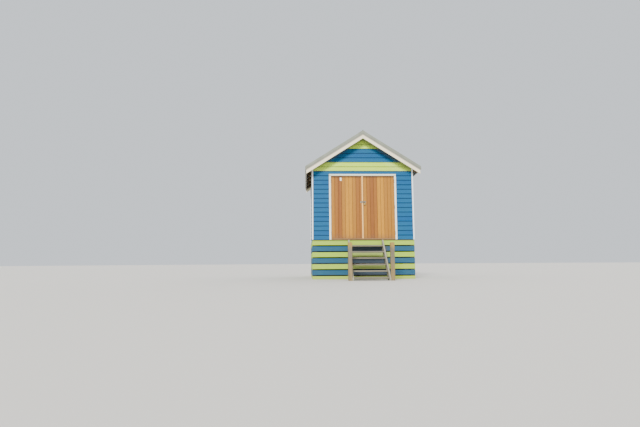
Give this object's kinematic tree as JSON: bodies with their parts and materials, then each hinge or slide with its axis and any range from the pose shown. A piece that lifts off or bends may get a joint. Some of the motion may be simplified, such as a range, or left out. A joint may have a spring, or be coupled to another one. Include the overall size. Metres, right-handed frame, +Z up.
{
  "type": "beach hut with double doors and open steps",
  "caption": "Gabled weatherboard beach hut on stumps, hollow inside, with a corrugated roof, double doors that swing outwards and a flight of open steps.",
  "frame": {"origin": "on the ground under the middle of the walls, on the foot of the middle stump", "axes": "+X to the right when facing the doors, +Y from the doors to the back wall, +Z up"},
  "size_m": [3.7588, 4.8495, 4.81],
  "materials": {
    "old_timber": "rough grey weathered timber",
    "framing": "sawn pine, aged",
    "floor_boards": "worn floor boards",
    "blue_paint": "matt blue painted timber",
    "lime_paint": "matt lime green painted timber",
    "white_paint": "matt white painted timber",
    "cream_paint": "matt cream white painted timber",
    "door_timber": "oiled timber boards",
    "galvanised": "dull galvanised steel sheet",
    "grey_metal": "light grey painted steel",
    "hinge_steel": "dull steel",
    "padlock_metal": "tarnished brass"
  },
  "bodies": {
    "hut": {"stumps": "old_timber", "bearers": "framing", "floor_joists": "framing", "floor": "floor_boards", "front_skirt_lime_boards": "lime_paint", "front_skirt_blue_boards": "blue_paint", "back_skirt_lime_boards": "lime_paint", "back_skirt_blue_boards": "blue_paint", "side_skirt_lime_boards": "lime_paint", "side_skirt_blue_boards": "blue_paint", "front_wall_left": "blue_paint", "front_wall_right": "blue_paint", "front_wall_over_doors": "blue_paint", "left_wall": "blue_paint", "right_wall": "blue_paint", "back_wall": "blue_paint", "corner_boards": "white_paint", "door_sill": "cream_paint", "door_jambs": "white_paint", "head_jamb": "white_paint", "side_architraves": "white_paint", "head_architrave": "white_paint", "rafters": "framing", "ridge_board": "framing", "purlins": "framing", "fascias": "cream_paint", "eave_blocks": "blue_paint", "left_roof_sheet": "galvanised", "right_roof_sheet": "galvanised", "left_barge_boards": "cream_paint", "right_barge_boards": "cream_paint", "left_barge_cappings": "grey_metal", "right_barge_cappings": "grey_metal", "ridge_cap": "grey_metal", "door_hinge_plates": "hinge_steel", "step_stringers": "old_timber", "step_treads": "old_timber", "step_posts": "old_timber"},
    "left_door": {"left_door": "door_timber", "left_door_ledges": "door_timber", "meeting_strip": "cream_paint", "left_door_hinge_leaves": "hinge_steel", "hasp": "hinge_steel"},
    "right_door": {"right_door": "door_timber", "right_door_ledges": "door_timber", "right_door_hinge_leaves": "hinge_steel", "staple": "hinge_steel", "padlock": "padlock_metal"}
  },
  "joints": [
    {"name": "left_door_hinge", "type": "hinge", "parent": "hut", "child": "left_door", "pos_m": [-1.0355, -1.74, 2.317], "axis": [0, 0, -1], "range_deg": [0, 165]},
    {"name": "right_door_hinge", "type": "hinge", "parent": "hut", "child": "right_door", "pos_m": [1.0355, -1.74, 2.317], "axis": [0, 0, 1], "range_deg": [0, 165]}
  ]
}
